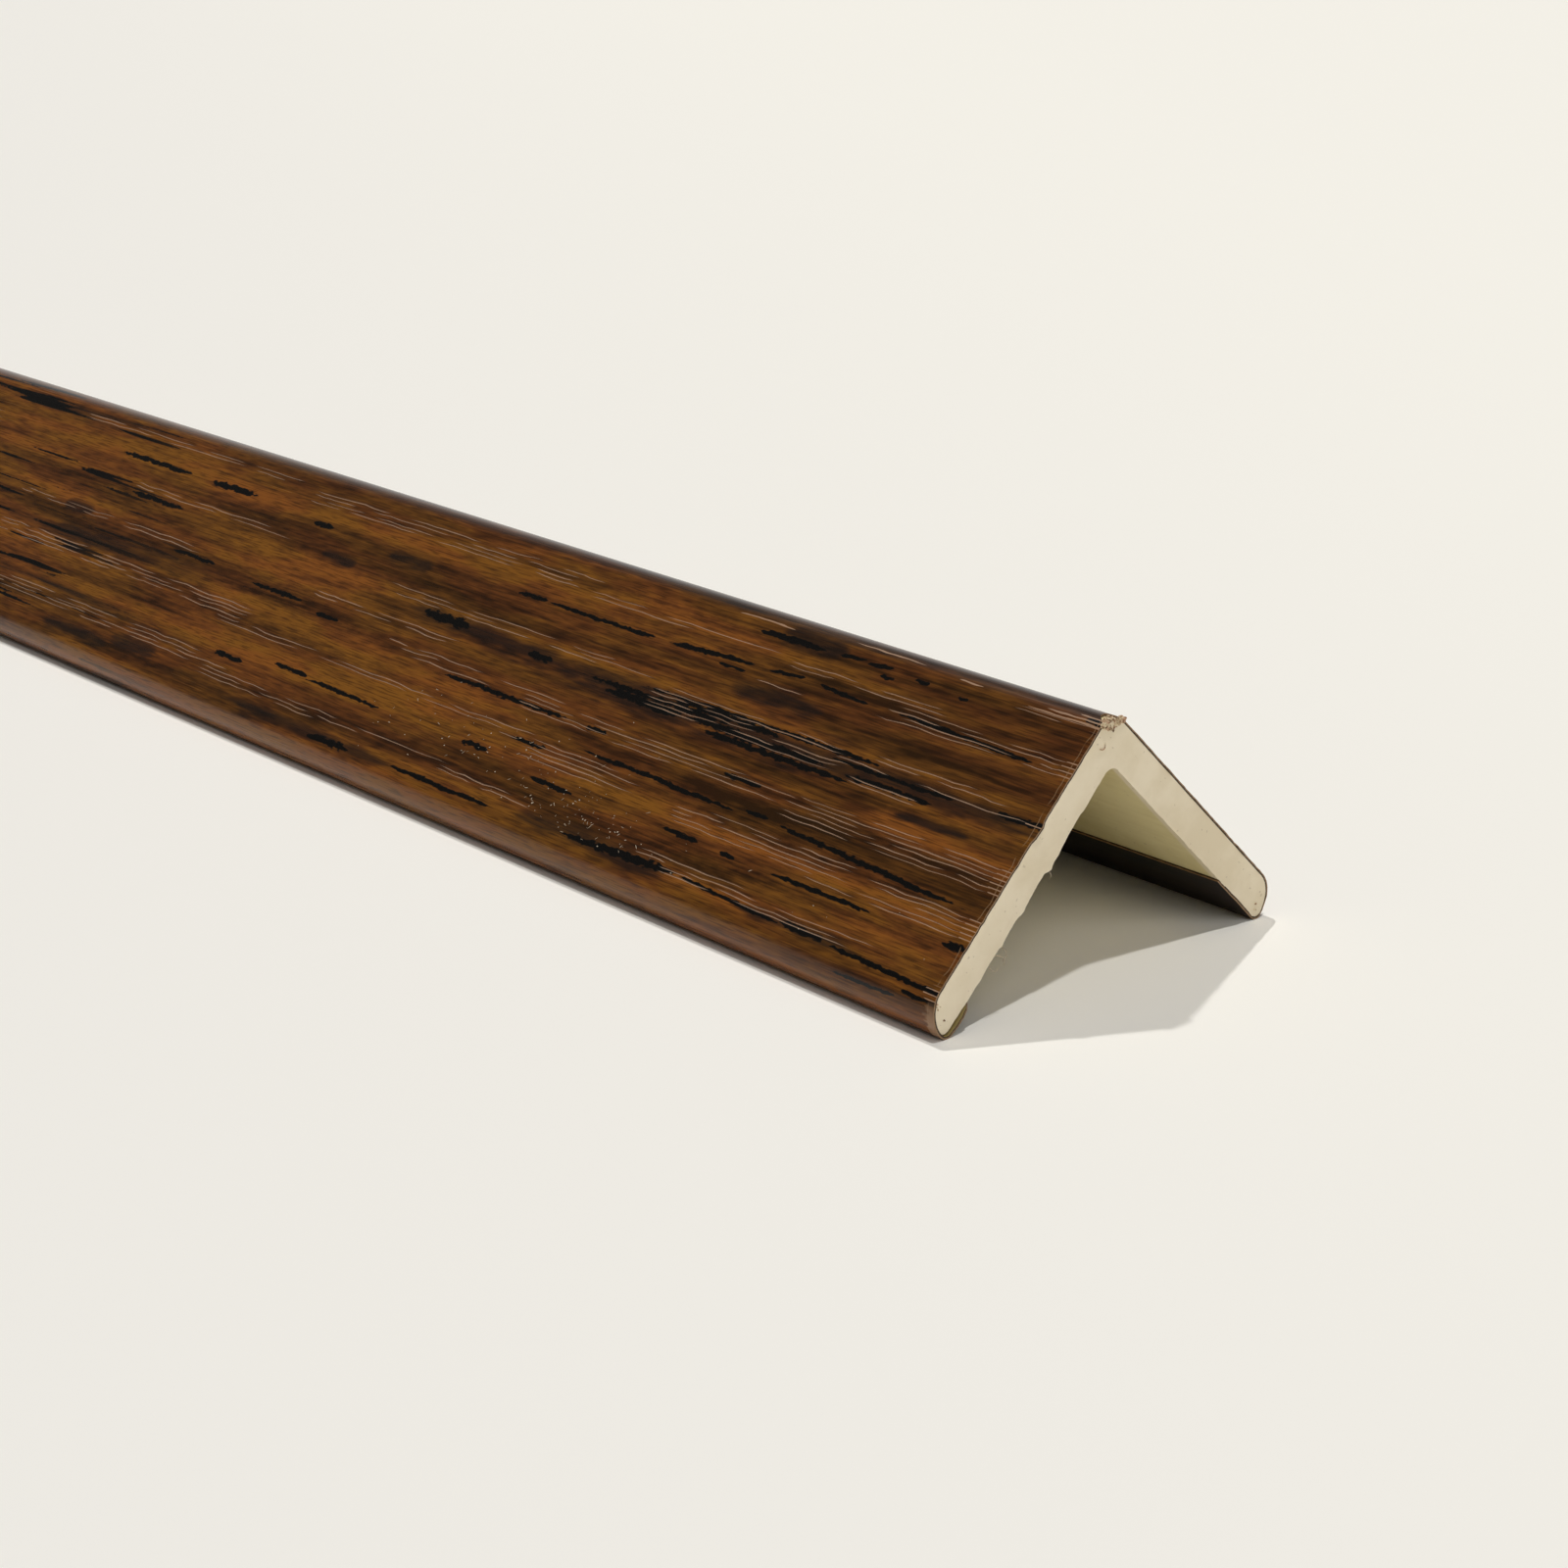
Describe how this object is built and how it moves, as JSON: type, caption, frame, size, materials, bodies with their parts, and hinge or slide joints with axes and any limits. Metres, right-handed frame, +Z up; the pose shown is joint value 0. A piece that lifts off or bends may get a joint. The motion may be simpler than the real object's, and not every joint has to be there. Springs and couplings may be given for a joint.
{
  "type": "corner trim",
  "caption": "Right-angled PVC corner trim with equal legs, wrapped outside and round its rounded free edges in dark wood-grain film, glued over an outside corner.",
  "frame": {"origin": "middle of the base, on the floor under the corner, half way along the bar", "axes": "+X along the bar towards the pictured cut end, +Z up from the floor through the corner, +Y across"},
  "size_m": [1.22, 0.0336, 0.0188],
  "materials": {
    "pvc": "matte",
    "film": "satin"
  },
  "bodies": {
    "root": {"pvc_core": "pvc", "wood_film": "film"}
  },
  "joints": []
}
